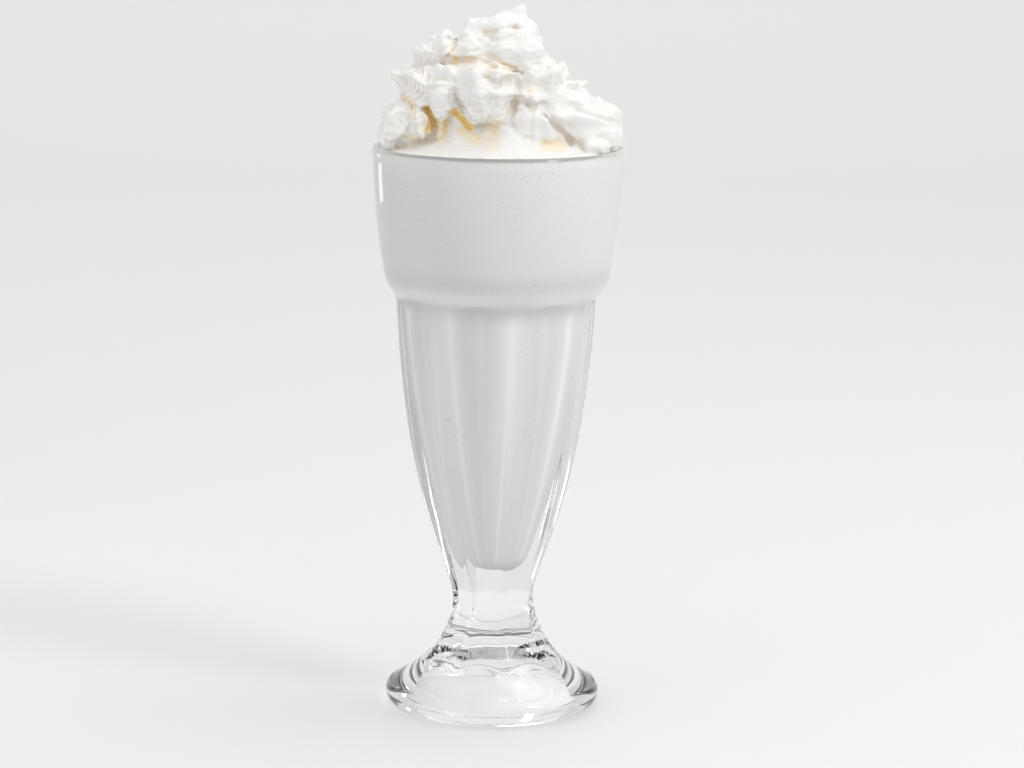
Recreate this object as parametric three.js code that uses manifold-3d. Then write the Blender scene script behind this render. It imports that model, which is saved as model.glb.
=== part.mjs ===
// A vanilla milkshake: a pressed soda-fountain glass with a round foot and eight hollow flutes,
// filled to the rim with thick shake and topped with a piped swirl of whipped cream.
// Millimetres, +Z up. The origin is on the table under the middle of the foot, and the front is -Y.
// Angles round the axis are in degrees from the front, growing towards +X.

import * as THREE from "three";
import { mergeVertices } from "three/addons/utils/BufferGeometryUtils.js";
import Module from "manifold-3d";

const wasm = await Module();
wasm.setup();

// Driving dimensions of the glass
const RIM_HEIGHT = 185;
const RIM_RADIUS = 41;
const CONTACT_RADIUS = 30.9;
const FOOT_HOLLOW_RADIUS = 28.6;
const FOOT_HOLLOW_HEIGHT = 20;
const WAIST_RADIUS = 13.5;
const WAIST_HEIGHT = 36;
const SHOULDER_RADIUS = 32.8;
const SHOULDER_HEIGHT = 133;
const BOWL_RADIUS = 37.3;
const BOWL_HEIGHT = 147.2;
const WELL_FLOOR = 47.5;
const WELL_MOUTH_RADIUS = 38.6;

// Driving dimensions of what fills it; cream heights are above the rim
const SHAKE_LEVEL = 180;
const GAP = 0.3;
const CREAM_LIMIT_RADIUS = 40.8;
const CORE_PEAK = 37;
const MOUND_LEAN = 5;
const CREAM_RIDGES = 7;
const RIDGE_DEPTH = 0.09;
const CREAM_RIPPLE = 0.45;

// Flutes: hollow panels between narrow flat ribs, with scalloped ends
const FLUTES = 8;
const RIB_ANGLE = 12;
const RIB_HALF_WIDTH = 2.7;
const FLUTE_DEPTH = 0.1;
const STEM_SHARE = 0.4;
const FLUTE_TOP = { height: 136, scallop: 1.6, fade: 1.5 };
const FLUTE_FOOT = { height: 13.8, scallop: -2, fade: 2.2 };
const STEPS_PER_FLUTE = 8;
const BODY_ROWS = [0, 0.15, 0.3, 0.46, 0.62, 0.8, 1];
const FOOT_ROWS = [0, 0.2, 0.34, 0.42, 0.5, 0.66, 0.84, 1];
const SHOULDER_ROWS = [0, 0.12, 0.22, 0.35, 0.5, 0.75, 1];
const GLASS_STEPS = FLUTES * STEPS_PER_FLUTE;
const SHAKE_STEPS = 44;
const CREAM_STEPS = 48;

const radians = (angle) => (angle * Math.PI) / 180;
const mix = (from, to, share) => from + (to - from) * share;
const clamp01 = (value) => Math.min(1, Math.max(0, value));
const ease = (value) => clamp01(value) ** 2 * (3 - 2 * clamp01(value));
const at = (radius, height) => new THREE.Vector2(radius, height);
const bend = (...corners) => new THREE.CubicBezierCurve(...corners);
const straight = (from, to) => new THREE.LineCurve(from, to);

// A chain of curves as one outline, each with its number of steps or the shares to step at
function outline(...pieces) {
  const points = [];
  for (const [curve, steps] of pieces) {
    const row = Array.isArray(steps) ? steps.map((share) => curve.getPoint(share)) : curve.getPoints(steps);
    for (const p of row) {
      const last = points.at(-1);
      if (!last || last.distanceTo(p) > 1e-6) points.push(p);
    }
  }
  return points;
}

// The glass's steps round the axis: one across each rib's flat crest, the rest across the flute
function fluteStep(step) {
  const flute = Math.floor(step / STEPS_PER_FLUTE);
  const inFlute = step - flute * STEPS_PER_FLUTE;
  const fluteAngle = 360 / FLUTES;
  const stride = (fluteAngle - 2 * RIB_HALF_WIDTH) / (STEPS_PER_FLUTE - 1);
  const offset = inFlute === 0 ? -RIB_HALF_WIDTH : RIB_HALF_WIDTH + (inFlute - 1) * stride;
  return RIB_ANGLE + flute * fluteAngle + offset;
}

// How hollow the outside is at an angle and height: 0 on a rib, 1 in the middle of a flute
function hollowness(angle, height) {
  const turn = (angle - RIB_ANGLE) / (360 / FLUTES);
  const toRib = Math.abs(2 * (turn - Math.floor(turn)) - 1);
  const crest = (2 * RIB_HALF_WIDTH * FLUTES) / 360;
  const scoop = 1 - Math.min(1, toRib / (1 - crest)) ** 2;
  const top = FLUTE_TOP.height + FLUTE_TOP.scallop * scoop;
  const foot = FLUTE_FOOT.height - FLUTE_FOOT.scallop * scoop;
  const ends = ease((top - height) / FLUTE_TOP.fade) * ease((height - foot) / FLUTE_FOOT.fade);
  return scoop * ends * mix(STEM_SHARE, 1, ease((height - 30) / 35));
}

// A profile turned about the Z axis; stepAngle(step) gives the angle of each step round it, and
// reshape(radius, height, angle, row) each point's radius
function turned(profile, steps, stepAngle, reshape = (radius) => radius) {
  const geometry = new THREE.LatheGeometry(profile, steps);
  const position = geometry.getAttribute("position");
  for (let i = 0; i < position.count; i++) {
    const row = i % profile.length;
    const angle = stepAngle(Math.floor(i / profile.length) % steps);
    const { x: radius, y: height } = profile[row];
    const shaped = reshape(radius, height, angle, row);
    const turn = radians(angle);
    position.setXYZ(i, shaped * Math.sin(turn), -shaped * Math.cos(turn), height);
  }
  return geometry;
}

const evenly = (steps) => (step) => (360 * step) / steps;

function meshed(name, geometry, material) {
  const mesh = new THREE.Mesh(geometry, new THREE.MeshStandardMaterial(material));
  mesh.name = name;
  return mesh;
}

// The well inside the glass, from the middle of its floor up to the mouth
const well = outline(
  [bend(at(0, WELL_FLOOR), at(5, WELL_FLOOR), at(7.6, 49.2), at(9.2, 54)), 4],
  [bend(at(9.2, 54), at(15.6, 70), at(25.2, 105), at(27, 131)), 5],
  [bend(at(27, 131), at(28.4, 137), at(33.4, 137.5), at(34.9, 148)), 4],
  [bend(at(34.9, 148), at(36.9, 160), at(38.1, 172), at(WELL_MOUTH_RADIUS, 183)), 2],
);

function wellRadius(height) {
  const next = well.findIndex((p) => p.y >= height);
  const [below, above] = [well[next - 1], well[next]];
  return mix(below.x, above.x, (height - below.y) / (above.y - below.y));
}

// Glass: one pressed piece, hollow under the foot, solid in the stem, with a rounded bead at the rim
const underside = outline(
  [bend(
    at(0, FOOT_HOLLOW_HEIGHT),
    at(13, FOOT_HOLLOW_HEIGHT),
    at(21.5, 14),
    at(FOOT_HOLLOW_RADIUS, 0),
  ), 5],
  [straight(at(FOOT_HOLLOW_RADIUS, 0), at(CONTACT_RADIUS, 0)), 1],
);
const foot = outline(
  [bend(at(CONTACT_RADIUS, 0), at(34.6, 0), at(36.6, 5.2), at(33.8, 7.6)), 4],
  [bend(at(33.8, 7.6), at(24.5, 12), at(14.2, 21.5), at(WAIST_RADIUS, WAIST_HEIGHT)), FOOT_ROWS],
);
const body = outline(
  [bend(
    at(WAIST_RADIUS, WAIST_HEIGHT),
    at(WAIST_RADIUS, 47.8),
    at(29, 63.7),
    at(SHOULDER_RADIUS, SHOULDER_HEIGHT),
  ), BODY_ROWS],
);
const bowl = outline(
  [bend(
    at(SHOULDER_RADIUS, SHOULDER_HEIGHT),
    at(32.8, 140.2),
    at(35.7, 135),
    at(BOWL_RADIUS, BOWL_HEIGHT),
  ), SHOULDER_ROWS],
  [bend(at(BOWL_RADIUS, BOWL_HEIGHT), at(38.9, 155), at(40.2, 170), at(40.5, 181.4)), 2],
  [bend(
    at(40.5, 181.4),
    at(RIM_RADIUS + 0.3, 182.8),
    at(RIM_RADIUS + 0.1, RIM_HEIGHT),
    at(39.8, RIM_HEIGHT),
  ), 3],
  [straight(at(39.8, RIM_HEIGHT), at(WELL_MOUTH_RADIUS + 0.2, 184.4)), 1],
);
const outside = [...underside, ...foot.slice(1), ...body.slice(1), ...bowl.slice(1)];
const wellDown = well.toReversed();

// Only the outside above the foot is fluted
const fluted = (radius, height, angle, row) =>
  row < underside.length || row >= outside.length
    ? radius
    : radius * (1 - FLUTE_DEPTH * hollowness(angle, height));
const glassGeometry = turned([...outside, ...wellDown], GLASS_STEPS, fluteStep, fluted);
const glass = meshed("glass", glassGeometry, {
  color: 0xe8eeee,
  roughness: 0.03,
  metalness: 0,
  transparent: true,
  opacity: 0.35,
});

// Milkshake: fills the well up to just below the rim
const shakeProfile = [at(0, WELL_FLOOR + GAP)];
for (const p of well.slice(1)) {
  if (p.y > SHAKE_LEVEL) break;
  shakeProfile.push(at(p.x - GAP, p.y + GAP));
}
shakeProfile.push(at(wellRadius(SHAKE_LEVEL) - GAP, SHAKE_LEVEL), at(0, SHAKE_LEVEL));
const shakeGeometry = turned(shakeProfile, SHAKE_STEPS, evenly(SHAKE_STEPS));
const milkshake = meshed("milkshake", shakeGeometry, {
  color: 0xe9e8e4,
  roughness: 0.4,
  metalness: 0,
});

// Whipped cream: each form below is closed, and they are joined into one solid
function solid(geometry) {
  geometry.deleteAttribute("normal");
  geometry.deleteAttribute("uv");
  const merged = mergeVertices(geometry, 1e-4);
  return new wasm.Manifold(
    new wasm.Mesh({
      numProp: 3,
      vertProperties: new Float32Array(merged.getAttribute("position").array),
      triVerts: new Uint32Array(merged.index.array),
    }),
  );
}

// The mound leans to the left half-way up and comes back to the middle at its top
const lean = (height) => MOUND_LEAN * (ease((height - 31) / 9) - ease(height / 30));

function spot(angle, ring, height) {
  const turn = radians(angle);
  return new THREE.Vector3(
    lean(height) + ring * Math.sin(turn),
    -ring * Math.cos(turn),
    RIM_HEIGHT + height,
  );
}

// Small unevenness, and the limits that keep the cream inside the rim's edge and on the shake
function settle(p, centre) {
  const wave = Math.sin(0.7 * p.x + 1.3) + Math.sin(0.8 * p.y + 2.1) + Math.sin(0.9 * p.z + 0.4);
  const outward = p.clone().sub(centre);
  if (outward.length() > 0.01) p.addScaledVector(outward.normalize(), CREAM_RIPPLE * wave);
  const radius = Math.hypot(p.x, p.y);
  const limit = Math.min(1, CREAM_LIMIT_RADIUS / Math.max(radius, 0.01));
  return p.set(p.x * limit, p.y * limit, Math.max(p.z, SHAKE_LEVEL + GAP));
}

// A closed form on a sphere's grid; place(along, around) gives each point, both from 0 to 1
function form(sides, steps, place) {
  const geometry = new THREE.SphereGeometry(1, sides, steps);
  const position = geometry.getAttribute("position");
  const uv = geometry.getAttribute("uv");
  for (let i = 0; i < position.count; i++) {
    const p = place(1 - uv.getY(i), uv.getX(i));
    position.setXYZ(i, p.x, p.y, p.z);
  }
  return solid(geometry);
}

// A piped rope through stations of angle, ring radius, height and thickness, with star ridges
function rope(stations, sides, steps, { pulses, twist, ridge }) {
  const path = new THREE.CatmullRomCurve3(stations.map(([angle, ring, height]) => spot(angle, ring, height)));
  const thickness = (along) => {
    const place = along * (stations.length - 1);
    const i = Math.min(stations.length - 2, Math.floor(place));
    return mix(stations[i][3], stations[i + 1][3], ease(place - i));
  };
  return form(sides, steps, (along, around) => {
    const centre = path.getPoint(along);
    const tangent = path.getTangent(along);
    const side = tangent.clone().cross(new THREE.Vector3(0, 0, 1)).normalize();
    const up = side.clone().cross(tangent).normalize();
    const turn = 2 * Math.PI * around;
    const round = Math.min(1, Math.sin(Math.PI * along) * steps * 0.16) ** 0.5;
    const star = 1 + ridge * Math.cos(CREAM_RIDGES * turn + twist * along);
    const pulse = 1 + 0.1 * Math.cos(2 * Math.PI * pulses * along);
    const radius = thickness(along) * round * star * pulse;
    const p = centre.clone();
    p.addScaledVector(side, radius * Math.cos(turn));
    p.addScaledVector(up, radius * Math.sin(turn));
    return radius < 0.01 ? centre : settle(p, centre);
  });
}

// A lobe with half sizes across, deep and high, drawn out to a soft peak in one direction
function lobe([x, y, z], [across, deep, high], peak = [0, 0, 1], pull = 0) {
  const centre = new THREE.Vector3(x, y, RIM_HEIGHT + z);
  const towards = new THREE.Vector3(...peak).normalize();
  return form(10, 7, (along, around) => {
    const [polar, turn] = [Math.PI * along, 2 * Math.PI * around];
    const outward = new THREE.Vector3(
      -Math.cos(turn) * Math.sin(polar),
      -Math.sin(turn) * Math.sin(polar),
      Math.cos(polar),
    );
    const point = clamp01(outward.dot(towards)) ** 5;
    const p = new THREE.Vector3(across * outward.x, deep * outward.y, high * outward.z);
    p.addScaledVector(towards, pull * point);
    return settle(p.add(centre), centre);
  });
}

// The melted pool against the glass, rising into the mound's core, with folds at the front
const coreProfile = outline(
  [straight(at(0, SHAKE_LEVEL + GAP), at(39.4, SHAKE_LEVEL + GAP)), 1],
  [straight(at(39.4, SHAKE_LEVEL + GAP), at(38.9, RIM_HEIGHT - 0.9)), 1],
  [bend(at(38.9, RIM_HEIGHT - 0.9), at(30, 187), at(23.5, 188.5), at(22, 195)), 5],
  [bend(at(22, 195), at(22.5, 206), at(15.5, 212), at(0, RIM_HEIGHT + CORE_PEAK)), 5],
);
const folded = (radius, height, angle) => {
  const rise = height - RIM_HEIGHT;
  const folds = Math.sin(radians(9 * angle)) * ease((rise - 1) / 4) * ease((24 - rise) / 8);
  return radius + 1.3 * folds;
};
const coreGeometry = turned(coreProfile, CREAM_STEPS, evenly(CREAM_STEPS), folded);
{
  const position = coreGeometry.getAttribute("position");
  for (let i = 0; i < position.count; i++) {
    position.setX(i, position.getX(i) + lean(Math.max(0, position.getZ(i) - RIM_HEIGHT)));
  }
}

// The lower ring, from the big smooth lobe at the front right round the back to the left
const lowerRing = [
  [30, 15, 19, 5],
  [46, 22, 16, 6.6],
  [66, 28, 9.4, 8.6],
  [95, 31, 5, 9.7],
  [140, 31, 5.4, 9.2],
  [185, 31, 5.8, 9],
  [230, 30.5, 5.6, 9],
  [266, 29.8, 5, 8.8],
  [290, 29.6, 5.4, 8],
  [306, 29.4, 6, 6.4],
];

// The swirl, from its tip at the left past the front and twice round up to the top
const swirl = [
  [-100, 22.5, 20.4, 5.5],
  [-75, 20.6, 18.6, 8],
  [-45, 22, 18.2, 8.4],
  [-22, 18.6, 19, 6.6],
  [2, 20.6, 19.4, 8.2],
  [26, 19.6, 19.4, 7.2],
  [50, 21, 18.8, 8],
  [90, 20.6, 17, 8],
  [135, 20.5, 19, 8.2],
  [180, 18.6, 21.3, 8.2],
  [225, 16.8, 23.8, 8],
  [270, 14, 26.4, 7.6],
  [315, 12.6, 29, 7.2],
  [360, 11.8, 30.6, 7],
  [405, 11.8, 31, 7],
  [450, 11.6, 31.4, 7.2],
  [500, 8.6, 33, 6.8],
  [560, 6, 34.6, 6],
  [630, 3.4, 36.4, 5.4],
];

const creamForms = [
  rope(lowerRing, 12, 32, { pulses: 7, twist: 9, ridge: RIDGE_DEPTH * 0.6 }),
  rope(swirl, 14, 64, { pulses: 13, twist: 26, ridge: RIDGE_DEPTH }),
  // Top cap with its curl's tip, its right shoulder, and the frill to its left
  lobe([1.6, -3.5, 38.4], [6, 5.6, 4.4], [0.75, 0, 1], 3.2),
  lobe([6, -1.5, 34], [7.6, 7, 6], [0.6, 0, 1], 0.6),
  lobe([-6.6, -1.5, 36.6], [4.6, 4.6, 3.6], [-0.8, 0, 1], 1.8),
  // Upper lobes at the left, one in front and one behind
  lobe([-10.4, -12.6, 32.4], [4.2, 4.6, 4.2], [-0.4, -0.6, 1], 0.8),
  lobe([-17.6, 1, 30.2], [5, 6, 4.2], [-1, 0, 0.1], 2.8),
  // The left lobe's pointed tip and its smooth inner fold
  lobe([-25.4, -5, 19.4], [5.2, 7, 5.6], [-1, 0, 0.4], 4.6),
  lobe([-19, -19, 16.4], [5.4, 5.6, 6.8], [0, -0.3, -1], 0.8),
  // The rough lobe that hangs over the front
  lobe([-4, -24.4, 18.8], [8.4, 6.2, 8.8], [0, -0.4, -1], 1.4),
  // Lobes down the right side, each with a tip
  lobe([13, -16.5, 22.6], [6.2, 6, 5.4], [0.6, -0.4, 0.6], 1.2),
  lobe([17.6, -3, 20.4], [4.4, 6, 4.2], [1, 0, 0.7], 1.8),
  lobe([20.8, -6, 15.8], [4.4, 6.5, 3.4], [1, 0, 0.5], 2.2),
  // The ledge and the far edge of the lower right lobe
  lobe([30.2, -2, 10.4], [4.8, 9, 3.6], [0.6, 0, 1], 1.2),
  lobe([34, -11, 4], [5, 7, 4.4], [1, 0, -0.3], 2.6),
  // Lower left: a broken lobe, a small round one beside it, and crumbs on the rim
  lobe([-30.8, -14, 7], [5.8, 7.4, 6], [-0.9, 0, -0.6], 2.4),
  lobe([-24, -20.5, 9], [3.4, 3.6, 3.7]),
  lobe([-34, -15.4, 2.6], [3.4, 3.4, 2.4]),
];

// The space of the glass's rim, kept clear of cream by the gap all round
const rimClearance = outline(
  [straight(at(wellRadius(SHAKE_LEVEL) - GAP, SHAKE_LEVEL - 3), at(46, SHAKE_LEVEL - 3)), 1],
  [straight(at(46, SHAKE_LEVEL - 3), at(46, RIM_HEIGHT + GAP)), 1],
  [straight(at(46, RIM_HEIGHT + GAP), at(39.6, RIM_HEIGHT + GAP)), 1],
  [bend(at(39.6, RIM_HEIGHT + GAP), at(38.9, RIM_HEIGHT + GAP), at(38.4, 184.6), at(38.3, 183)), 2],
  [straight(at(38.3, 183), at(wellRadius(SHAKE_LEVEL) - GAP, SHAKE_LEVEL - 3)), 1],
);

let cream = solid(coreGeometry);
for (const piece of creamForms) cream = cream.add(piece);
cream = cream.subtract(solid(turned(rimClearance, CREAM_STEPS, evenly(CREAM_STEPS))));

// One outer body: hollows sealed by the joining are filled, and loose scraps are dropped
const mound = cream.decompose().sort((a, b) => b.volume() - a.volume())[0];
const { vertProperties, triVerts } = mound.getMesh();
const creamGeometry = new THREE.BufferGeometry();
creamGeometry.setAttribute("position", new THREE.BufferAttribute(new Float32Array(vertProperties), 3));
creamGeometry.setIndex(new THREE.BufferAttribute(new Uint32Array(triVerts), 1));
const whippedCream = meshed("whipped_cream", creamGeometry, {
  color: 0xf2f0ec,
  roughness: 0.6,
  metalness: 0,
});

const group = new THREE.Group();
group.add(glass, milkshake, whippedCream);
export default group;
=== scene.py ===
import math

import bpy
import numpy as np
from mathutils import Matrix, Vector, noise
from mathutils.bvhtree import BVHTree


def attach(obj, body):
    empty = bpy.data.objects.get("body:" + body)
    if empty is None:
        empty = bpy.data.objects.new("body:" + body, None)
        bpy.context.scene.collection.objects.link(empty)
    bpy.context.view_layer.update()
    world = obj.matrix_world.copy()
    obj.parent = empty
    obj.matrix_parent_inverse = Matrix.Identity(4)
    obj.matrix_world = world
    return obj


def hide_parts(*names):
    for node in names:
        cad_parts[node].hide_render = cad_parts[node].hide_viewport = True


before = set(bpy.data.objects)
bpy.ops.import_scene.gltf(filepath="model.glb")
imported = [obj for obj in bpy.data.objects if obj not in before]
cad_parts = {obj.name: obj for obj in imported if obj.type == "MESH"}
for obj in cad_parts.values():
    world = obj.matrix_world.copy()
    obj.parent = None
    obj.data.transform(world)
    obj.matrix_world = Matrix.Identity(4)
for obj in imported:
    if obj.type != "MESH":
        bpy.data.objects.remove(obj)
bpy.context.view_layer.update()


# Glass
# One piece of clear pressed glass: a smooth bowl with a fire-polished bead at its rim, a stepped
# shoulder, eight hollow flutes between narrow flat ribs, a solid stem and a foot that is hollow
# underneath. The outline is turned, and the flutes are then sunk into its outside.
MM = 0.001
RIM_HEIGHT = 185.0
# Places where the outline turns, as (radius, height), for the outside and then for the well
UNDER_DOME = (0, 20)
RING_INSIDE, RING_OUTSIDE = (28.6, 0), (30.9, 0)
FOOT_EDGE = (33.8, 7.6)
STEM = (13.5, 36)
NECK = (32.8, 133)
SHOULDER = (37.3, 147.2)
BEAD = (40.5, 181.4)
RIM = (39.8, RIM_HEIGHT)
WELL_FLOOR, WELL_END = (0, 47.5), (9.2, 54)
WELL_NECK = (27, 131)
WELL_SHOULDER = (34.9, 148)
WELL_TOP = (38.6, 183)
# Eight flutes, as angles in degrees and a depth as a share of the radius
FLUTES = 8
FLUTE_ANGLE = 360.0 / FLUTES
RIB_ANGLE = 12.0
RIB_HALF_WIDTH = 2.7
FLUTE_DEPTH = 0.1
STEM_SHARE = 0.4
STEM_END, STEM_BLEND = 30.0, 35.0
FLUTE_TOP = {"height": 136.0, "scallop": 1.6, "fade": 1.5}
FLUTE_FOOT = {"height": 13.8, "scallop": -2.0, "fade": 2.2}
GLASS_COLOUR = (0.997, 0.999, 0.997, 1.0)
LIGHT_THROUGH = (0.97, 0.97, 0.965, 1.0)


def ease(value):
    """A smooth step from 0 to 1."""
    value = np.clip(value, 0.0, 1.0)
    return value * value * (3.0 - 2.0 * value)


def bend(start, leave, arrive, end, steps):
    """Points along a curve that leaves its start towards one point and reaches its end from another."""
    t = np.linspace(0.0, 1.0, steps + 1)[:, None]
    a, b, c, d = (np.array(p, float) for p in (start, leave, arrive, end))
    return (1 - t) ** 3 * a + 3 * (1 - t) ** 2 * t * b + 3 * (1 - t) * t**2 * c + t**3 * d


def outline(*curves):
    """Curves joined end to end, without the doubled points."""
    rows = [curves[0][0]]
    for curve in curves:
        rows.extend(p for p in curve if np.linalg.norm(p - rows[-1]) > 1e-5)
    return np.array(rows)


def hollowness(angle, height):
    """How far the outside is sunk, from 0 on a rib to 1 in the middle of a flute."""
    turn = (angle - RIB_ANGLE) / FLUTE_ANGLE
    to_rib = np.abs(2.0 * (turn - np.floor(turn)) - 1.0)
    crest = 2.0 * RIB_HALF_WIDTH / FLUTE_ANGLE
    scoop = 1.0 - np.minimum(1.0, to_rib / (1.0 - crest)) ** 2
    top = FLUTE_TOP["height"] + FLUTE_TOP["scallop"] * scoop
    foot = FLUTE_FOOT["height"] - FLUTE_FOOT["scallop"] * scoop
    ends = ease((top - height) / FLUTE_TOP["fade"]) * ease((height - foot) / FLUTE_FOOT["fade"])
    return scoop * ends * (STEM_SHARE + (1.0 - STEM_SHARE) * ease((height - STEM_END) / STEM_BLEND))


def turned_mesh(name, rows, angles, reshape=None):
    """A closed solid turned about Z from rows of (radius, height) that start and end on the axis."""
    height = np.repeat(rows[1:-1, 1][:, None], len(angles), axis=1)
    radius = np.repeat(rows[1:-1, 0][:, None], len(angles), axis=1)
    around = np.repeat(angles[None, :], len(rows) - 2, axis=0)
    if reshape is not None:
        radius = reshape(radius, height, around)
    turn = np.radians(around)
    rings = np.stack([radius * np.sin(turn), -radius * np.cos(turn), height], axis=-1).reshape(-1, 3)
    ends = np.array([[0.0, 0.0, rows[0, 1]], [0.0, 0.0, rows[-1, 1]]])
    points = np.vstack([rings, ends]) * MM
    sides, levels = len(angles), len(rows) - 2
    first, last = sides * levels, sides * levels + 1
    faces = []
    for level in range(levels - 1):
        for side in range(sides):
            after = (side + 1) % sides
            a, b = level * sides + side, level * sides + after
            faces.append((a, b, b + sides, a + sides))
    for side in range(sides):
        after = (side + 1) % sides
        faces.append((first, after, side))
        faces.append((last, (levels - 1) * sides + side, (levels - 1) * sides + after))
    mesh = bpy.data.meshes.new(name)
    mesh.from_pydata(points.tolist(), [], faces)
    mesh.update()
    mesh.polygons.foreach_set("use_smooth", [True] * len(mesh.polygons))
    return mesh


def shown(name, mesh, material, node):
    """Shows a mesh in place of one solid of the frame, with its material."""
    piece = bpy.data.objects.new(name, mesh)
    bpy.context.collection.objects.link(piece)
    mesh.materials.append(material)
    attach(piece, "root")
    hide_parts(node)


well = outline(
    bend(WELL_FLOOR, (5, 47.5), (7.6, 49.2), WELL_END, 20),
    bend(WELL_END, (15.6, 70), (25.2, 105), WELL_NECK, 40),
    bend(WELL_NECK, (28.4, 137), (33.4, 137.5), WELL_SHOULDER, 24),
    bend(WELL_SHOULDER, (36.9, 160), (38.1, 172), WELL_TOP, 20),
)
bead_inside = RIM, (39.1, RIM_HEIGHT), (38.7, 184.4), WELL_TOP
underside = outline(
    bend(UNDER_DOME, (13, 20), (21.5, 14), RING_INSIDE, 34),
    bend(RING_INSIDE, (29.3, 0), (30.1, 0), RING_OUTSIDE, 2),
)
wall = outline(
    bend(RING_OUTSIDE, (34.6, 0), (36.6, 5.2), FOOT_EDGE, 20),
    bend(FOOT_EDGE, (24.5, 12), (14.2, 21.5), STEM, 64),
    bend(STEM, (13.5, 47.8), (29, 63.7), NECK, 60),
    bend(NECK, (32.8, 140.2), (35.7, 135), SHOULDER, 60),
    bend(SHOULDER, (38.9, 155), (40.2, 170), BEAD, 20),
    bend(BEAD, (41.3, 182.8), (41.1, RIM_HEIGHT), RIM, 14),
    bend(*bead_inside, 8),
)
glass_rows = np.vstack([underside, wall[1:], well[::-1][1:]])
wall_start, wall_end = len(underside), len(underside) + len(wall) - 1


def fluted(radius, height, around):
    """The outside's radius with the flutes sunk into it. The well and the underside stay round."""
    sunk = FLUTE_DEPTH * hollowness(around, height)
    row = np.arange(1, len(glass_rows) - 1)[:, None]
    return radius * (1.0 - sunk * (row >= wall_start) * (row < wall_end))


flute_steps = np.concatenate([
    np.linspace(-RIB_HALF_WIDTH, RIB_HALF_WIDTH, 5)[:-1],
    np.linspace(RIB_HALF_WIDTH, FLUTE_ANGLE - RIB_HALF_WIDTH, 28)[:-1],
])
glass_angles = np.concatenate([RIB_ANGLE + FLUTE_ANGLE * k + flute_steps for k in range(FLUTES)])


def new_material(name):
    """A new material, with its nodes, its links and its surface."""
    material = bpy.data.materials.new(name)
    material.use_nodes = True
    nodes = material.node_tree.nodes
    return material, nodes, material.node_tree.links, nodes["Principled BSDF"]


def uneven(nodes, links, place, scale, detail=2.0):
    texture = nodes.new("ShaderNodeTexNoise")
    texture.inputs["Scale"].default_value = scale
    texture.inputs["Detail"].default_value = detail
    links.new(place.outputs["Object"], texture.inputs["Vector"])
    return texture.outputs["Fac"]


def relief(nodes, links, surface, height, strength, distance):
    bump = nodes.new("ShaderNodeBump")
    bump.inputs["Strength"].default_value = strength
    bump.inputs["Distance"].default_value = distance
    links.new(height, bump.inputs["Height"])
    links.new(bump.outputs["Normal"], surface.inputs["Normal"])


clear_glass, nodes, links, surface = new_material("clear_glass")
surface.inputs["Base Color"].default_value = GLASS_COLOUR
surface.inputs["Roughness"].default_value = 0.012
surface.inputs["IOR"].default_value = 1.47
surface.inputs["Transmission Weight"].default_value = 1.0
# Pressed glass is never quite flat: a slow waviness that bends its reflections
place = nodes.new("ShaderNodeTexCoord")
waviness = uneven(nodes, links, place, scale=70.0, detail=1.5)
relief(nodes, links, surface, waviness, strength=0.25, distance=0.0004)
# Light passes through to the drink instead of being stopped as by a solid
lamp_rays = nodes.new("ShaderNodeLightPath")
let_through = nodes.new("ShaderNodeBsdfTransparent")
let_through.inputs["Color"].default_value = LIGHT_THROUGH
either = nodes.new("ShaderNodeMixShader")
links.new(lamp_rays.outputs["Is Shadow Ray"], either.inputs["Fac"])
links.new(surface.outputs["BSDF"], either.inputs[1])
links.new(let_through.outputs["BSDF"], either.inputs[2])
links.new(either.outputs["Shader"], nodes["Material Output"].inputs["Surface"])

glass_mesh = turned_mesh("glass_fluted", glass_rows, glass_angles, fluted)
shown("glass_fluted", glass_mesh, clear_glass, "glass")


# Milkshake
# Thick white shake that wets the whole well up to just below the rim, so it meets the glass with
# no air between. Fine bubbles are caught against the glass in loose groups.
SHAKE_LEVEL = 180.0
SHAKE_TOP = SHAKE_LEVEL + 1.0  # inside the cream, so that no seam shows at the wall
INTO_WALL = 0.07
SHAKE_TONE, SHAKE_PALER = (0.928, 0.926, 0.92, 1.0), (0.942, 0.940, 0.935, 1.0)
FOAM_TONE = (0.945, 0.942, 0.934, 1.0)
BUBBLE_TONE = (0.83, 0.80, 0.745, 1.0)
# Painted light on the shake behind the glass: heights of its bands of painted shade and painted
# highlight, and how much each takes or gives
FOLD_HEIGHT, BAND_HEIGHT = 144.0, 139.6
SCALLOP_EDGE, SCALLOP_RISE = 136.3, 1.4
FLUTED_BELOW = 135.0
PLAIN_SHARE, FOLD_TAKES, BAND_GIVES, EDGE_GIVES, STRIPE_GIVES = 0.94, 0.075, 0.085, 0.04, 0.085


def well_radius(height):
    return np.interp(height, well[:, 1], well[:, 0])


# Rows close enough for the bands of colour, and closest at the shoulder
well_heights = np.concatenate([
    np.linspace(56.0, 133.0, 66),
    np.linspace(133.5, 142.0, 26),
    np.linspace(142.8, SHAKE_TOP - 0.01, 38),
])
shake_rows = np.vstack([
    well[well[:, 1] < 55.5],
    np.column_stack([well_radius(well_heights), well_heights]),
])
shake_rows[:, 0] += INTO_WALL * (shake_rows[:, 0] > 0)
shake_rows[0, 1] -= INTO_WALL
top_radius = well_radius(SHAKE_TOP) + INTO_WALL
shake_rows = np.vstack([
    shake_rows,
    [top_radius, SHAKE_TOP],
    [top_radius * 0.5, SHAKE_TOP],
    [0, SHAKE_TOP],
])
shake_mesh = turned_mesh("shake_fill", shake_rows, np.arange(0, 360, 1.0))


def vertices_of(mesh):
    values = np.empty(len(mesh.vertices) * 3)
    mesh.vertices.foreach_get("co", values)
    return values.reshape(-1, 3) / MM


def give_values(mesh, name, values):
    """A named value on each vertex, for the material to read."""
    layer = mesh.attributes.new(name, "FLOAT", "POINT")
    layer.data.foreach_set("value", values)


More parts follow.
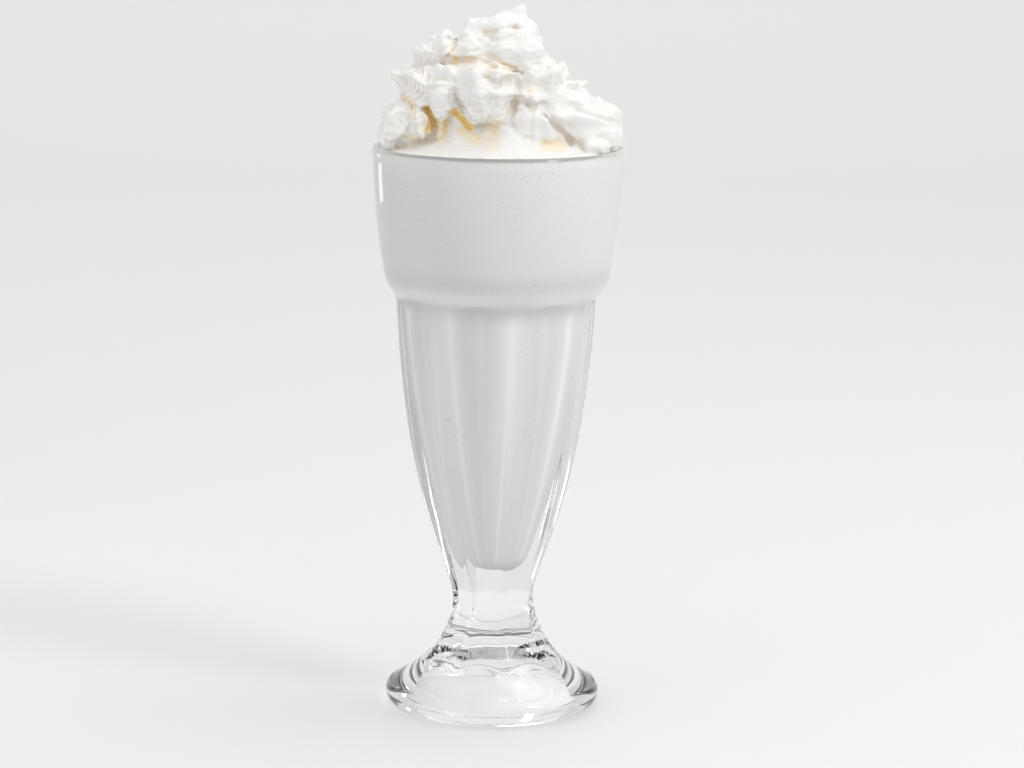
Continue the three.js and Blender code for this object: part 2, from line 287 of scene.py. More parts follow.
def read_values(nodes, name):
    source = nodes.new("ShaderNodeAttribute")
    source.attribute_name = name
    return source.outputs["Fac"]


def ramp(nodes, links, source, low, high, start=0.0, end=1.0, smooth=False):
    """A value that goes from start to end while its source goes from low to high."""
    span = nodes.new("ShaderNodeMapRange")
    span.interpolation_type = "SMOOTHSTEP" if smooth else "LINEAR"
    span.inputs["From Min"].default_value = low
    span.inputs["From Max"].default_value = high
    span.inputs["To Min"].default_value = start
    span.inputs["To Max"].default_value = end
    links.new(source, span.inputs["Value"])
    return span.outputs["Result"]


def blended(nodes, links, share, first, second, way="MIX"):
    """A colour between two others. Each of the three is a plain value or another node's output."""
    mix = nodes.new("ShaderNodeMix")
    mix.data_type = "RGBA"
    mix.blend_type = way
    for entry, value in (("Factor", share), ("A", first), ("B", second)):
        if isinstance(value, bpy.types.NodeSocket):
            links.new(value, mix.inputs[entry])
        else:
            mix.inputs[entry].default_value = value
    return mix.outputs["Result"]


def shake_light(points):
    """Painted shade behind the shoulder's fold, and painted highlight under it and behind the ribs."""
    height = points[:, 2]
    angle = np.degrees(np.arctan2(points[:, 0], -points[:, 1]))
    turn = (angle - RIB_ANGLE) / FLUTE_ANGLE
    from_rib = np.abs(turn - np.round(turn)) * FLUTE_ANGLE
    fold = np.exp(-(((height - FOLD_HEIGHT) / 3.0) ** 2))
    scallop = SCALLOP_EDGE + SCALLOP_RISE * np.clip(2.0 * from_rib / FLUTE_ANGLE, 0.0, 1.0)
    band = np.exp(-(((height - BAND_HEIGHT) / 2.4) ** 2)) * ease((height - scallop) / 0.7)
    edge = np.exp(-(((height - scallop - 0.5) / 0.5) ** 2))
    fluted_part = ease((FLUTED_BELOW - height) / 3.0)
    mid_flute = np.exp(-(((from_rib - FLUTE_ANGLE / 2) / 3.0) ** 2))
    stripe = np.exp(-((from_rib / 2.8) ** 2)) + 0.4 * mid_flute
    bands = PLAIN_SHARE - FOLD_TAKES * fold + BAND_GIVES * band + EDGE_GIVES * edge
    return bands + STRIPE_GIVES * fluted_part * stripe


vanilla_shake, nodes, links, surface = new_material("vanilla_milkshake")
place = nodes.new("ShaderNodeTexCoord")
cloud = uneven(nodes, links, place, scale=38.0, detail=4.0)
tone = blended(nodes, links, cloud, SHAKE_TONE, SHAKE_PALER)
# The last millimetres under the cream are paler, where foam has mixed in
level = nodes.new("ShaderNodeSeparateXYZ")
links.new(place.outputs["Object"], level.inputs["Vector"])
foamy = ramp(nodes, links, level.outputs["Z"], 0.1745, 0.1795, smooth=True)
topped = blended(nodes, links, foamy, tone, FOAM_TONE)
# Bubbles: small round cells in loose groups, only some of them open
cells = nodes.new("ShaderNodeTexVoronoi")
cells.inputs["Scale"].default_value = 620.0
links.new(place.outputs["Object"], cells.inputs["Vector"])
bubble = ramp(nodes, links, cells.outputs["Distance"], 0.10, 0.26, 1.0, 0.0)
crowded = ramp(nodes, links, uneven(nodes, links, place, scale=55.0), 0.42, 0.6, 0.0, 0.8)
speck = nodes.new("ShaderNodeMath")
speck.operation = "MULTIPLY"
links.new(bubble, speck.inputs[0])
links.new(crowded, speck.inputs[1])
specked = blended(nodes, links, speck.outputs["Value"], topped, BUBBLE_TONE)
# Painted light: the thick fold of glass at the shoulder turns light away from the shake behind it, and
# the ribs gather light on theirs, so the shake's colour carries a darker band of painted shade round the
# bowl's foot and paler stripes of painted highlight below it
give_values(shake_mesh, "light_share", shake_light(vertices_of(shake_mesh)))
shaded = blended(nodes, links, 1.0, specked, read_values(nodes, "light_share"), way="MULTIPLY")
links.new(shaded, surface.inputs["Base Color"])
surface.inputs["Roughness"].default_value = 0.5
surface.inputs["IOR"].default_value = 1.36
shown("shake_fill", shake_mesh, vanilla_shake, "milkshake")


# Whipped cream
# Aerated cream piped on the shake: a lower ring that ends in a big smooth lobe at the front
# right, a swirl that winds twice up to a curled tip, and lobes and broken bits between. At the
# front it has melted into a smooth pool against the glass.
CREAM_LIMIT_RADIUS = 40.8
CORE_PEAK = 37.0
POOL_EDGE = (39.4, 184.2)
CORE_WAIST = (24, 195)
MOUND_LEAN = 5.0
RIDGES = 7
RUFFLES_PER_PULSE = 3.1
UNEVENNESS = 0.45
VOXEL = 0.4
CREAM_TRIANGLES = 190_000
# Relief of its skin: size of the marks, and how far they stand out
LUMP_SIZE, LUMP_RELIEF = 6.5, 0.3
FOLD_SIZES, FOLD_RELIEF = (5.0, 2.2, 1.9), 0.34
CRAG_SIZE, CRAG_RELIEF = 2.1, 0.42
WAVE_RELIEF = 0.42
MEAN_RADIUS = 22.0
HOLLOW_REACH, RAY_START = 9.0, 0.3
# Cream in the open, and the darker, warmer painted shade of its hollows
OPEN_TONE, HOLLOW_SHADE_TONE = (0.80, 0.793, 0.779, 1.0), (0.77, 0.72, 0.64, 1.0)
GOLD_TINT_TONE = (0.88, 0.66, 0.28, 1.0)
WETTED_TONE = (0.91, 0.905, 0.89, 1.0)


def lean(height):
    """How far the mound stands off the middle: to the left as it rises, and back at its tip."""
    return MOUND_LEAN * (ease((height - 31.0) / 9.0) - ease(height / 30.0))


def spot(angle, ring, height):
    """A point from its angle round the mound, its distance out and its height above the rim."""
    turn = math.radians(angle)
    return np.array([lean(height) + ring * math.sin(turn), -ring * math.cos(turn), RIM_HEIGHT + height])


def closed_grid(points):
    """Faces of a closed form given as rings of points along it, with a point at each end."""
    rings, sides, _ = points.shape
    flat = points[1:-1].reshape(-1, 3)
    points_all = np.vstack([flat, points[0, 0], points[-1, 0]])
    level = np.arange(rings - 3)[:, None] * sides
    side = np.arange(sides)[None, :]
    after = (side + 1) % sides
    quads = np.stack([level + side, level + sides + side, level + sides + after, level + after], axis=-1)
    faces = [tuple(q) for q in quads.reshape(-1, 4).tolist()]
    first, last = len(flat), len(flat) + 1
    bottom = (rings - 3) * sides
    for k in range(sides):
        n = (k + 1) % sides
        faces.append((first, k, n))
        faces.append((last, bottom + n, bottom + k))
    return points_all, faces


def settled(points, centres):
    """Points moved a little in or out from their centres, as soft cream never lies quite even."""
    wave = np.sin(0.7 * points[..., 0] + 1.3) + np.sin(0.8 * points[..., 1] + 2.1)
    wave = wave + np.sin(0.9 * points[..., 2] + 0.4)
    outward = points - centres
    length = np.linalg.norm(outward, axis=-1, keepdims=True)
    outward = outward / np.maximum(length, 0.01)
    return points + UNEVENNESS * wave[..., None] * outward * (length > 0.01)


def smooth_path(stations, shares):
    """A path through the stations that passes each of them without overshooting."""
    marks = np.array([spot(*station[:3]) for station in stations])
    marks = np.vstack([2 * marks[0] - marks[1], marks, 2 * marks[-1] - marks[-2]])
    path = []
    for share in shares:
        place = share * (len(stations) - 1)
        i = min(int(place), len(stations) - 2)
        t = place - i
        p0, p1, p2, p3 = marks[i : i + 4]
        d0, d1, d2 = (max(np.linalg.norm(b - a), 1e-6) ** 0.5 for a, b in ((p0, p1), (p1, p2), (p2, p3)))
        m1 = d1 * ((p1 - p0) / d0 - (p2 - p0) / (d0 + d1) + (p2 - p1) / d1)
        m2 = d1 * ((p2 - p1) / d1 - (p3 - p1) / (d1 + d2) + (p3 - p2) / d2)
        cubic = p1 + m1 * t + (3 * (p2 - p1) - 2 * m1 - m2) * t**2 + (2 * (p1 - p2) + m1 + m2) * t**3
        path.append(cubic)
    return np.array(path)


def rope(stations, sides, steps, pulses, twist, ridge):
    """A piped rope through stations of (angle, distance out, height, thickness), with twisted ridges."""
    shares = np.linspace(0.0, 1.0, steps + 1)
    path = smooth_path(stations, shares)
    tangent = np.gradient(path, axis=0)
    tangent /= np.linalg.norm(tangent, axis=1, keepdims=True)
    side = np.cross(tangent, (0.0, 0.0, 1.0))
    side /= np.linalg.norm(side, axis=1, keepdims=True)
    up = np.cross(side, tangent)
    place = shares * (len(stations) - 1)
    low = np.minimum(place.astype(int), len(stations) - 2)
    thick = np.array([station[3] for station in stations])
    thickness = thick[low] + (thick[low + 1] - thick[low]) * ease(place - low)
    blunt = np.minimum(1.0, np.sin(np.pi * shares) * len(stations) * 1.3) ** 0.5
    turn = np.linspace(0.0, 2 * np.pi, sides, endpoint=False)
    spiral = RIDGES * turn[None, :] + twist * shares[:, None]
    # A star nozzle leaves sharp ridges, and each ridge is ruffled along its length
    crest = 1.0 - np.abs(np.sin(0.5 * spiral))
    which_ridge = np.floor(spiral / (2 * np.pi) + 0.5)
    along = 2 * np.pi * pulses * RUFFLES_PER_PULSE * shares[:, None]
    ruffle = 0.5 + 0.5 * np.sin(along + 1.7 * which_ridge)
    star = 1.0 + ridge * (1.9 * crest * (0.6 + 0.55 * ruffle) - 0.7)
    pulse = 1.0 + 0.1 * np.cos(2 * np.pi * pulses * shares)
    radius = (thickness * blunt * pulse)[:, None] * star
    radius[[0, -1]] = 0.0
    centres = path[:, None, :]
    points = centres + radius[..., None] * (
        np.cos(turn)[None, :, None] * side[:, None, :] + np.sin(turn)[None, :, None] * up[:, None, :]
    )
    return closed_grid(settled(points, centres)[:, ::-1])


def lobe(centre, half, peak=(0, 0, 1), pull=0.0, ridge=0.09, ridges=6):
    """A lobe drawn out to a soft peak, with nozzle ridges that run from the peak to its root."""
    centre = np.array([centre[0], centre[1], RIM_HEIGHT + centre[2]], float)
    towards = np.array(peak, float) / np.linalg.norm(peak)
    side = np.cross(towards, (0.12, 1.0, 0.05))
    side /= np.linalg.norm(side)
    across = np.cross(side, towards)
    polar = np.linspace(0.0, np.pi, 65)[:, None]
    turn = np.linspace(0.0, 2 * np.pi, 120, endpoint=False)[None, :]
    outward = (
        np.cos(polar)[..., None] * towards
        + (np.sin(polar) * np.cos(turn))[..., None] * side
        + (np.sin(polar) * np.sin(turn))[..., None] * across
    )
    crest = 1.0 - np.abs(np.sin(0.5 * (ridges * turn + 1.3 * polar + centre[0])))
    star = 1.0 + ridge * np.sqrt(np.sin(polar)) * (1.9 * crest - 0.6)
    point = np.clip(np.cos(polar), 0.0, 1.0) ** 7
    points = outward * np.array(half, float) * star[..., None] + pull * 1.25 * point[..., None] * towards
    return closed_grid(settled(centre + points, centre))


core_floor = SHAKE_LEVEL - 0.3
core_rows = outline(
    bend((0, core_floor), (13, core_floor), (26, core_floor), (39, core_floor), 30),
    bend((39, core_floor), (39.1, 181.4), (39.2, 182.8), POOL_EDGE, 8),
    bend(POOL_EDGE, (31, 187.4), (25.4, 188.6), CORE_WAIST, 30),
    bend(CORE_WAIST, (23.5, 206), (15.5, 212), (0, RIM_HEIGHT + CORE_PEAK), 36),
)


def core_form():
    """The plain middle of the mound, from the shake up, that fills the space inside the ropes."""
    turn = np.radians(np.arange(0, 360, 2.0))
    radius, height = core_rows[:, :1], core_rows[:, 1:]
    rise = height - RIM_HEIGHT
    folds = np.sin(9 * turn)[None, :] * ease((rise - 1) / 4) * ease((24 - rise) / 8)
    across = radius + 1.3 * folds * (radius > 0.1)
    points = np.stack([
        across * np.sin(turn)[None, :] + lean(np.maximum(rise, 0.0)),
        -across * np.cos(turn)[None, :],
        height * np.ones_like(turn)[None, :],
    ], axis=-1)
    return closed_grid(points[:, ::-1])


lower_ring = [
    (30, 15, 19, 5),
    (46, 22, 16, 6.6),
    (66, 28, 9.4, 8.6),
    (95, 31, 5, 9.7),
    (140, 31, 5.4, 9.2),
    (185, 31, 5.8, 9),
    (230, 30.5, 5.6, 9),
    (266, 29.8, 5, 8.8),
    (290, 29.6, 5.4, 8),
    (306, 29.4, 6, 6.4),
]
swirl = [
    (-100, 22.5, 20.4, 5.5),
    (-75, 20.6, 18.6, 8),
    (-45, 22, 18.2, 8.4),
    (-22, 18.6, 19, 6.6),
    (2, 20.6, 19.4, 8.2),
    (26, 19.6, 19.4, 7.2),
    (50, 21, 18.8, 8),
    (90, 20.6, 17, 8),
    (135, 20.5, 19, 8.2),
    (180, 18.6, 21.3, 8.2),
    (225, 16.8, 23.8, 8),
    (270, 14, 26.4, 7.6),
    (315, 12.6, 29, 7.2),
    (360, 11.8, 30.6, 7),
    (405, 11.8, 31, 7),
    (450, 11.6, 31.4, 7.2),
    (500, 8.6, 33, 6.8),
    (560, 6, 34.6, 6),
    (630, 3.4, 36.4, 5.4),
]
tongue = [
    (26, 14.4, 18.6, 3),
    (38, 19, 17.2, 5.6),
    (52, 24, 13.4, 7.4),
    (68, 27.6, 8.6, 8.9),
    (84, 29.6, 5.4, 9.6),
    (100, 31, 5, 8),
]
cream_forms = [
    core_form(),
    rope(lower_ring, 140, 560, pulses=7, twist=9, ridge=0.08),
    rope(swirl, 140, 1200, pulses=13, twist=26, ridge=0.16),
    # Top cap with its curl's tip, its right shoulder, and the frill to its left
    lobe((1.6, -4.8, 39.4), (6.4, 5.6, 4.4), ridge=0.0),
    lobe((-1.6, -7.0, 37.6), (6.0, 5.2, 4.6), ridge=0.0),
    lobe((2.2, -3.5, 38.2), (6.8, 5.8, 5.2), (0.6, 0, 1), 2.8, ridge=0.0),
    lobe((6.2, -3.0, 33.6), (7.6, 8.4, 6.4), (0.6, 0, 1), 0.6, ridge=0.0),
    lobe((-5.6, -6.4, 36.0), (4.6, 4.4, 3.8), ridge=0.0),
    lobe((-6.4, -3.5, 35.8), (5.4, 4.8, 4.0), (-0.8, 0, 1), 1.3, ridge=0.0),
    # Upper lobes at the left, from front to back
    lobe((-9.8, -13.6, 31.6), (5.6, 5.2, 5.0), ridge=0.0),
    lobe((-16.8, -8.5, 32.6), (5.0, 6.0, 4.4), (-0.3, 0, 1), 0.3, ridge=0.0),
    lobe((-17.6, 1, 30.2), (5, 6, 4.2), (-1, 0, 0.1), 2.8),
    lobe((-19.8, -8.8, 29.4), (5.4, 5.6, 4.4), (-1, -0.2, 0.3), 0.8, ridge=0.02),
    # The left lobe's pointed tip and its smooth inner fold
    lobe((-25.4, -5, 19.4), (5.2, 7, 5.6), (-1, 0, 0.4), 4.6),
    lobe((-18.6, -19.4, 16.6), (4.6, 5.4, 6.6), (0, -0.3, -1), 0.8, ridge=0.0),
    # The rough lobe that hangs over the front
    lobe((-4.4, -24.2, 19.6), (9.0, 6.3, 9.6), (0, -0.4, -1), 1.0),
    # Lobes down the right side, each with a tip
    lobe((13, -16.5, 22.6), (6.2, 6, 5.4), (0.6, -0.4, 0.6), 1.2),
    lobe((17.6, -3, 20.4), (4.4, 6, 4.2), (1, 0, 0.7), 1.8),
    lobe((20.8, -6, 15.8), (4.4, 6.5, 3.4), (1, 0, 0.5), 2.2),
    # The smooth tongue of the lower right lobe, its ledge and its far edge
    rope(tongue, 96, 160, pulses=0, twist=0, ridge=0.0),
    lobe((30.2, -2, 10.4), (4.8, 9, 3.6), (0.6, 0, 1), 1.2),
    lobe((34, -11, 4), (5, 7, 4.4), (1, 0, -0.3), 2.6),
    # Lower left: a broken lobe, a small round one beside it, and crumbs on the rim
    lobe((-30.8, -14, 7), (5.8, 7.4, 6), (-0.9, 0, -0.6), 2.4),
    lobe((-29.6, -13.0, 11.4), (4.4, 5.4, 5.4), (-0.3, 0, 1), 0.8),
    lobe((-24.4, -18.8, 8.4), (3.8, 4.4, 4.8), (-0.2, -0.2, 1), 1.2, ridge=0.14),
    lobe((-20.5, -14.5, 6.5), (4.5, 4.5, 6), ridge=0.04),
    lobe((-34, -15.4, 2.6), (3.4, 3.4, 2.4)),
    # Smooth cream between the two tiers, and the edge by the rim at the right
    lobe((-3, -15.5, 26.6), (12, 5.6, 5), ridge=0.03),
    lobe((4.6, -14.0, 30.2), (10.0, 7.6, 8.6), (0.5, 0, -1), ridge=0.0),
    lobe((11, -13.5, 27.4), (6, 5.6, 5), ridge=0.07),
    lobe((-13.4, -19.2, 22.8), (4.2, 4.8, 5.0), ridge=0.03),
    lobe((30.5, -18.6, 1.4), (5, 4.4, 3.4), ridge=0.03),
    # The ribbed face between the overhanging lobe and the smooth tongue
    lobe((12.4, -20.4, 8.6), (6.6, 4.2, 8.0), (0.1, -0.3, 1), 0.2, ridge=0.07, ridges=9),
    lobe((6.6, -21.8, 9.4), (3.6, 4.2, 7.6), (0, -0.2, 1), 0.6, ridge=0.06),
    # Pillars of melting cream between the pool and the rough lobe above it
    lobe((-18.4, -18, 7.4), (2.2, 3.2, 5.6), ridge=0.0),
    lobe((-13.4, -20.5, 5.6), (2.0, 3.4, 4.6), ridge=0.0),
    lobe((-3.6, -21.5, 5.6), (2.2, 3.2, 5.2), ridge=0.0),
    lobe((2.6, -22, 6.4), (2.4, 3.4, 6.2), ridge=0.0),
]

points, faces = [], []
for form_points, form_faces in cream_forms:
    start = sum(len(p) for p in points)
    points.append(form_points)
    faces.extend(tuple(i + start for i in face) for face in form_faces)
rough_mesh = bpy.data.meshes.new("cream_forms")
rough_mesh.from_pydata((np.vstack(points) * MM).tolist(), [], faces)
rough = bpy.data.objects.new("cream_forms", rough_mesh)
bpy.context.collection.objects.link(rough)
fuse = rough.modifiers.new("fuse", "REMESH")
fuse.mode = "VOXEL"
fuse.voxel_size = VOXEL * MM
fuse.adaptivity = 0.0
soften = rough.modifiers.new("soften", "SMOOTH")
soften.factor = 0.5
soften.iterations = 2
graph = bpy.context.evaluated_depsgraph_get()
cream_mesh = bpy.data.meshes.new_from_object(rough.evaluated_get(graph))
cream_mesh.name = "cream_swirl"
bpy.data.objects.remove(rough)
bpy.data.meshes.remove(rough_mesh)


def normals_of(mesh):
    values = np.empty(len(mesh.vertices) * 3)
    mesh.vertex_normals.foreach_get("vector", values)
    return values.reshape(-1, 3)


def near(points, centre, reach):
    """A mask that is 1 close to a centre and 0 from 1.4 times the reach outward."""
    away = np.linalg.norm((points - np.array(centre)) / np.array(reach), axis=1)
    return ease(1.4 - away)


body = vertices_of(cream_mesh)
outward = normals_of(cream_mesh)
rise = body[:, 2] - RIM_HEIGHT
radius = np.hypot(body[:, 0], body[:, 1])
# Melted cream is smooth: the pool inside the rim, the big lobe at the front right and the top cap
pool = ease((3.8 - rise) / 2.4) * ease((-body[:, 1] + 4) / 10) * ease((24 - np.abs(body[:, 0] + 2)) / 6)
smooth_lobe = near(body, (24, -20, RIM_HEIGHT + 9), (17, 12, 8))
top_cap = near(body, (2, -7, RIM_HEIGHT + 35), (13, 12, 11))
melted = np.clip(np.maximum(pool, np.maximum(0.8 * smooth_lobe, 0.75 * top_cap)), 0.0, 1.0)
around = np.arctan2(body[:, 0], -body[:, 1])
drawn = np.column_stack([
    around * MEAN_RADIUS / FOLD_SIZES[0],
    radius / FOLD_SIZES[1],
    rise / FOLD_SIZES[2],
])
lumps = np.array([noise.fractal(Vector(p / LUMP_SIZE), 1.0, 2.1, 2) for p in body])
folds = np.array([0.35 - 2.0 * abs(noise.noise(Vector(p))) for p in drawn])
crags = np.array([0.35 - 2.0 * abs(noise.noise(Vector(p / CRAG_SIZE + 9.0))) for p in body])
overhang = near(body, (-4, -26, RIM_HEIGHT + 18), (10, 9, 10))
broken = near(body, (-33, -12, RIM_HEIGHT + 8), (9, 10, 8))
craggy = 0.25 + 0.75 * np.clip(overhang + broken, 0.0, 1.0)
shift = LUMP_RELIEF * lumps * (1 - 0.8 * melted) + FOLD_RELIEF * folds * (1 - melted)
shift += CRAG_RELIEF * crags * (1 - melted) * craggy
# The left lobe carries fine wavy ridges drawn by the nozzle
wavy = near(body, (-26, -15, RIM_HEIGHT + 20), (8.5, 11, 9.5))
meander = 2.0 * np.sin(body[:, 2] * 0.9 + body[:, 0] * 0.6)
phase = body[:, 0] * 4.2 - body[:, 2] * 1.6 + meander + 9.0 * lumps
come_and_go = 0.65 + 0.35 * np.sin(body[:, 2] * 0.8 + 0.9 * body[:, 0])
shift += WAVE_RELIEF * wavy * come_and_go * np.sin(phase)


def from_path(points, path):
    """Distance from a path of (across, height above the rim), seen from the front."""
    away = np.full(len(points), 99.0)
    rise = points[:, 2] - RIM_HEIGHT
    for (x0, z0), (x1, z1) in zip(path[:-1], path[1:]):
        dx, dz = x1 - x0, z1 - z0
        along = ((points[:, 0] - x0) * dx + (rise - z0) * dz) / (dx * dx + dz * dz)
        along = np.clip(along, 0.0, 1.0)
        away = np.minimum(away, np.hypot(points[:, 0] - x0 - along * dx, rise - z0 - along * dz))
    return away


# Creases between the lobes: the cap's curl, round the overhanging lobe, and beside the smooth one
facing = ease((-outward[:, 1] + 0.1) / 0.4) * (body[:, 1] < 1.0)
for path, width, cut in (
    ([(5.0, 39.4), (4.2, 37.2), (1.8, 35.8), (-3.0, 35.4)], 1.1, 0.6),
    ([(-13.8, 20.4), (-12.4, 15.5), (-10.0, 11.5)], 1.5, 1.2),
    ([(-14.0, 29.0), (-8.0, 28.8), (-1.0, 27.8), (5.0, 26.6)], 1.3, 0.8),
    ([(-13.4, 37.5), (-14.6, 33.5), (-16.6, 29.6)], 1.2, 1.2),
    ([(-4.0, 25.0), (-1.0, 22.5), (3.4, 23.5)], 2.2, 1.8),
    ([(5.4, 25.0), (6.2, 20.0), (3.8, 13.0)], 1.5, 0.7),
    ([(14.6, 12.8), (18.6, 8.4), (23.2, 3.6)], 1.6, 1.5),
    ([(24.6, 13.8), (30.0, 12.0), (36.0, 9.6)], 1.3, 0.7),
    ([(-14.0, 12.8), (-11.4, 10.4), (-9.0, 8.0)], 1.1, 1.2),
    ([(-22.2, 13.0), (-21.0, 10.4), (-22.2, 7.4)], 1.1, 1.0),
):
    shift -= cut * ease(1.0 - from_path(body, path) / width) * facing
body = body + outward * shift[:, None]

# Inside the rim the cream wets the glass, and above it no part stands out past the bead
bead = bend(*bead_inside, 12)[::-1]
wall_heights = np.concatenate([well[:, 1], bead[1:, 1]])
wall_radii = np.concatenate([well[:, 0], bead[1:, 0]]) + 0.5 * INTO_WALL
rim_inside = np.interp(body[:, 2], wall_heights, wall_radii)
radius = np.hypot(body[:, 0], body[:, 1])
limit = np.where(body[:, 2] < RIM_HEIGHT + 0.1, rim_inside, CREAM_LIMIT_RADIUS)
body[:, :2] *= np.minimum(1.0, limit / np.maximum(radius, 0.01))[:, None]
body[:, 2] = np.maximum(body[:, 2], SHAKE_LEVEL - 0.05)
cream_mesh.vertices.foreach_set("co", (body * MM).ravel())
cream_mesh.update()

# The flat parts keep fewer triangles than the frills
full = bpy.data.objects.new("cream_full", cream_mesh)
bpy.context.collection.objects.link(full)
thin_out = full.modifiers.new("thin_out", "DECIMATE")
thin_out.ratio = min(1.0, CREAM_TRIANGLES / (2.0 * len(cream_mesh.polygons)))
graph = bpy.context.evaluated_depsgraph_get()
thinned = bpy.data.meshes.new_from_object(full.evaluated_get(graph))
bpy.data.objects.remove(full)
bpy.data.meshes.remove(cream_mesh)
cream_mesh = thinned
cream_mesh.name = "cream_swirl"
cream_mesh.polygons.foreach_set("use_smooth", [True] * len(cream_mesh.polygons))
body = vertices_of(cream_mesh)

# How deep each point lies between lobes, for the painted shade there: a darker, warmer tone in the
# hollows
tree = BVHTree.FromPolygons(body.tolist(), [tuple(p.vertices) for p in cream_mesh.polygons])
outward = normals_of(cream_mesh)
rays = [Vector(v).normalized() for v in (
    (0, 0, 1), (0.8, 0, 0.6), (-0.8, 0, 0.6), (0, 0.8, 0.6), (0, -0.8, 0.6),
    (0.6, 0.6, 0.5), (-0.6, 0.6, 0.5), (0.6, -0.6, 0.5), (-0.6, -0.6, 0.5),
)]
depth = np.zeros(len(body))
for i, (point, normal) in enumerate(zip(body, outward)):
    normal = Vector(normal)
    start = Vector(point) + normal * RAY_START
    turn = Vector((0, 0, 1)).rotation_difference(normal)
    for ray in rays:
        hit = tree.ray_cast(start, turn @ ray, HOLLOW_REACH)
        if hit[0] is not None:
            depth[i] += (1.0 - hit[3] / HOLLOW_REACH) / len(rays)
# Small valleys take that painted shade too and small crests lose it, from each point's place against
# those near it
edges = np.empty(len(cream_mesh.edges) * 2, dtype=np.int32)
cream_mesh.edges.foreach_get("vertices", edges)
edges = edges.reshape(-1, 2)
ends = np.concatenate([edges[:, 0], edges[:, 1]])
others = np.concatenate([edges[:, 1], edges[:, 0]])
count = np.maximum(np.bincount(ends, minlength=len(body)), 1)
smoothed = body.copy()
for _ in range(6):
    means = [np.bincount(ends, smoothed[others, k], len(body)) / count for k in range(3)]
    smoothed = np.column_stack(means)
dip = np.einsum("ij,ij->i", smoothed - body, outward)
hollow = ease((depth - 0.12) / 0.45)
sunk = np.clip(hollow + 0.9 * np.clip(dip / 0.35, -0.25, 0.6), 0.0, 1.0)
# A golden tint in hollows at the front, along listed paths and stronger where a hollow is deeper: path
# (across, height), width, strength
gold_tint = np.zeros(len(body))
for path, width, strength in (
    ([(-14.0, 12.8), (-11.4, 10.4), (-9.0, 8.0)], 1.5, 1.0),
    ([(-12.2, 7.2), (-6.7, 4.2)], 1.6, 0.9),
    ([(-18.0, 9.2), (-17.6, 4.4)], 2.0, 0.7),
    ([(-22.2, 13.0), (-21.0, 10.4), (-22.2, 7.4)], 1.8, 1.0),
    ([(-30.6, 16.6), (-27.4, 15.8), (-26.4, 11.4)], 1.0, 0.6),
    ([(-28.6, 4.6), (-25.4, 4.8)], 1.2, 0.6),
    ([(-1.2, 9.6), (-2.4, 3.8)], 2.8, 0.5),
    ([(14.6, 2.8), (20.0, 2.4)], 1.6, 0.7),
    ([(-15.2, 32.4), (-14.6, 30.4), (-13.6, 27.8)], 1.2, 0.5),
    ([(-10.0, 28.9), (-4.0, 28.2), (2.0, 27.2)], 2.2, 0.28),
    ([(9.6, 20.6), (10.2, 20.0)], 1.0, 0.7),
):
    away = from_path(body, path)
    gold_tint = np.maximum(gold_tint, strength * ease(1.4 - away / width) * ease((-outward[:, 1] + 0.2) / 0.4))
gold_tint *= (0.45 + 0.55 * ease((depth - 0.12) / 0.3)) * ease((-body[:, 1] - 6.0) / 4.0)
# Painted shade: under the bead, where the cream turns away from the light, its colour is darkened to a
# thin grey line that shows through the rim
beyond = np.hypot(body[:, 0], body[:, 1])
at_wall = ease((beyond - 37.9) / 0.6)
under_bead = ease((body[:, 2] - 183.3) / 0.5) * (body[:, 2] < RIM_HEIGHT + 0.3)
bead_shade = 1.0 - 0.36 * at_wall * under_bead
# sunk carries the painted shade of the hollows to the material
give_values(cream_mesh, "sunk", sunk)
give_values(cream_mesh, "gold_tint", gold_tint)
give_values(cream_mesh, "bead_shade", bead_shade)

whipped_cream, nodes, links, surface = new_material("whipped_cream")
# Painted shade: darker, warmer cream in the hollows and small valleys
hollow_shaded = blended(nodes, links, read_values(nodes, "sunk"), OPEN_TONE, HOLLOW_SHADE_TONE)
golden = blended(nodes, links, read_values(nodes, "gold_tint"), hollow_shaded, GOLD_TINT_TONE)
# Where it wets the glass below the rim it is almost as white as the shake
place = nodes.new("ShaderNodeTexCoord")
level = nodes.new("ShaderNodeSeparateXYZ")
links.new(place.outputs["Object"], level.inputs["Vector"])
under_rim = ramp(nodes, links, level.outputs["Z"], 0.1855, 0.1835)
wetted = blended(nodes, links, under_rim, golden, WETTED_TONE)
# The painted shade under the bead darkens the colour
shaded = blended(nodes, links, 1.0, wetted, read_values(nodes, "bead_shade"), way="MULTIPLY")
links.new(shaded, surface.inputs["Base Color"])
surface.inputs["Roughness"].default_value = 0.42
surface.inputs["IOR"].default_value = 1.4
surface.inputs["Subsurface Weight"].default_value = 0.3
surface.inputs["Subsurface Radius"].default_value = (1.0, 0.85, 0.6)
surface.inputs["Subsurface Scale"].default_value = 0.0008
foam = uneven(nodes, links, place, scale=520.0, detail=4.0)
relief(nodes, links, surface, foam, strength=0.5, distance=0.0005)
shown("cream_swirl", cream_mesh, whipped_cream, "whipped_cream")


# Table and room
# A plain matt table top, made as one sheet that curves up far behind so that no edge shows. Soft
# lights as wide as windows stand round it, with one small panel near the glass.
TABLE_FRONT, TABLE_HALF_WIDTH = -3.0, 5.0
CURVE_START, CURVE_RADIUS, WALL_TOP = 1.5, 0.8, 4.0
TABLE_COLOUR = (0.77, 0.77, 0.765, 1.0)
CAMERA_DISTANCE, CAMERA_HEIGHT = 1.088, 0.2976
CAMERA_PITCH, CAMERA_ROLL = 9.94, 0.7


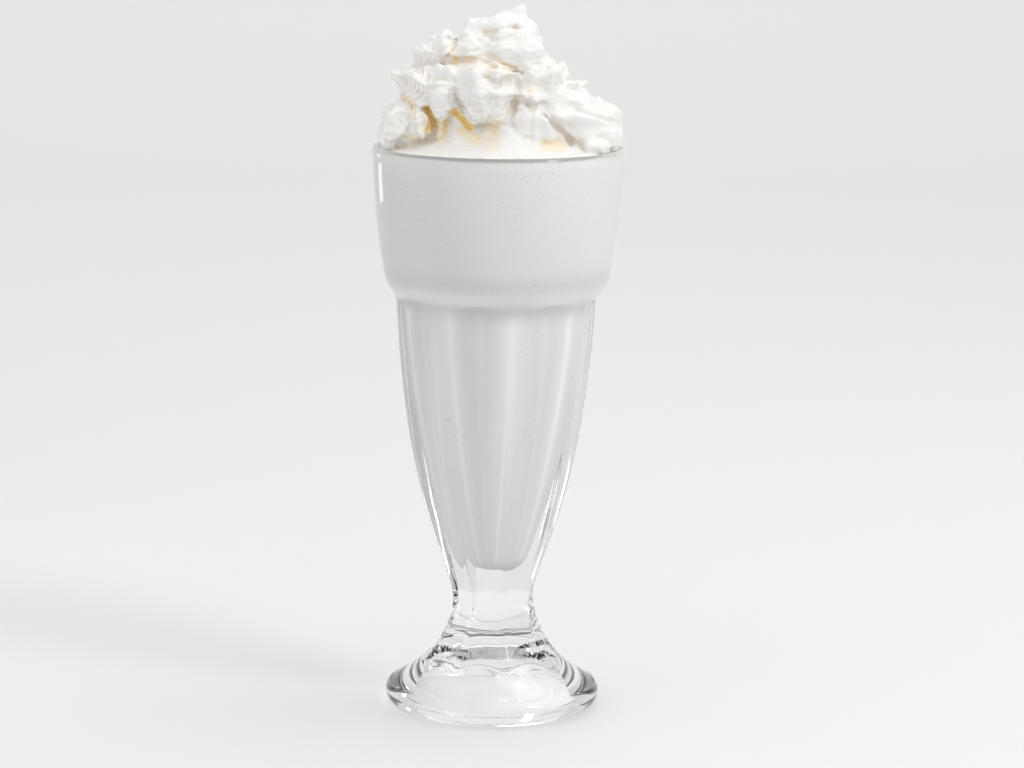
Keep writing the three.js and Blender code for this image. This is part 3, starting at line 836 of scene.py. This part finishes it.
def sweep_mesh():
    back = [(TABLE_FRONT, 0.0), (CURVE_START, 0.0)]
    for turn in np.radians(np.arange(6, 91, 6)):
        out, up = math.sin(turn), 1.0 - math.cos(turn)
        back.append((CURVE_START + CURVE_RADIUS * out, CURVE_RADIUS * up))
    back.append((CURVE_START + CURVE_RADIUS, WALL_TOP))
    points = [(x, y, z) for y, z in back for x in (-TABLE_HALF_WIDTH, TABLE_HALF_WIDTH)]
    faces = [(2 * i, 2 * i + 1, 2 * i + 3, 2 * i + 2) for i in range(len(back) - 1)]
    mesh = bpy.data.meshes.new("table_sweep")
    mesh.from_pydata(points, [], faces)
    mesh.polygons.foreach_set("use_smooth", [True] * len(faces))
    return mesh


table_top = bpy.data.objects.new("table_sweep", sweep_mesh())
bpy.context.collection.objects.link(table_top)
pale, nodes, links, surface = new_material("pale_table")
surface.inputs["Base Color"].default_value = TABLE_COLOUR
surface.inputs["Roughness"].default_value = 0.6
table_top.data.materials.append(pale)

world = bpy.data.worlds.new("soft_room")
bpy.context.scene.world = world
world.use_nodes = True
world.node_tree.nodes["Background"].inputs["Color"].default_value = (1.0, 1.0, 1.0, 1.0)
world.node_tree.nodes["Background"].inputs["Strength"].default_value = 0.9


def soft_light(name, place, target, width, height, power):
    lamp = bpy.data.lights.new(name, "AREA")
    lamp.shape = "RECTANGLE"
    lamp.size = width
    lamp.size_y = height
    lamp.energy = power
    holder = bpy.data.objects.new(name, lamp)
    bpy.context.collection.objects.link(holder)
    holder.location = place
    aim = Vector(target) - Vector(place)
    holder.rotation_euler = aim.to_track_quat("-Z", "Y").to_euler()


soft_light("window_right", (0.75, -0.5, 0.85), (0, 0, 0.16), 0.25, 0.4, 3.0)
soft_light("fill_left", (-0.9, -0.6, 0.5), (0, 0, 0.13), 0.8, 0.8, 1.1)
soft_light("panel_left", (-0.26, 0.25, 0.132), (0, 0, 0.165), 0.06, 0.045, 0.016)
soft_light("overhead", (0.35, 0.1, 1.2), (0, 0, 0.15), 0.7, 0.7, 2.5)
soft_light("backdrop", (0.0, 1.0, 1.6), (0, 2.2, 0.6), 2.0, 0.8, 5.0)

camera_data = bpy.data.cameras.new("camera")
camera_data.lens = 118.8
camera_data.sensor_width = 36.0
camera_data.shift_x = 0.0161
camera = bpy.data.objects.new("camera", camera_data)
bpy.context.collection.objects.link(camera)
camera.location = (0.0, -CAMERA_DISTANCE, CAMERA_HEIGHT)
camera.rotation_euler = (math.radians(90.0 - CAMERA_PITCH), 0.0, 0.0)
camera.rotation_euler.rotate_axis("Z", math.radians(CAMERA_ROLL))
bpy.context.scene.camera = camera
bpy.context.scene.view_settings.view_transform = "Standard"
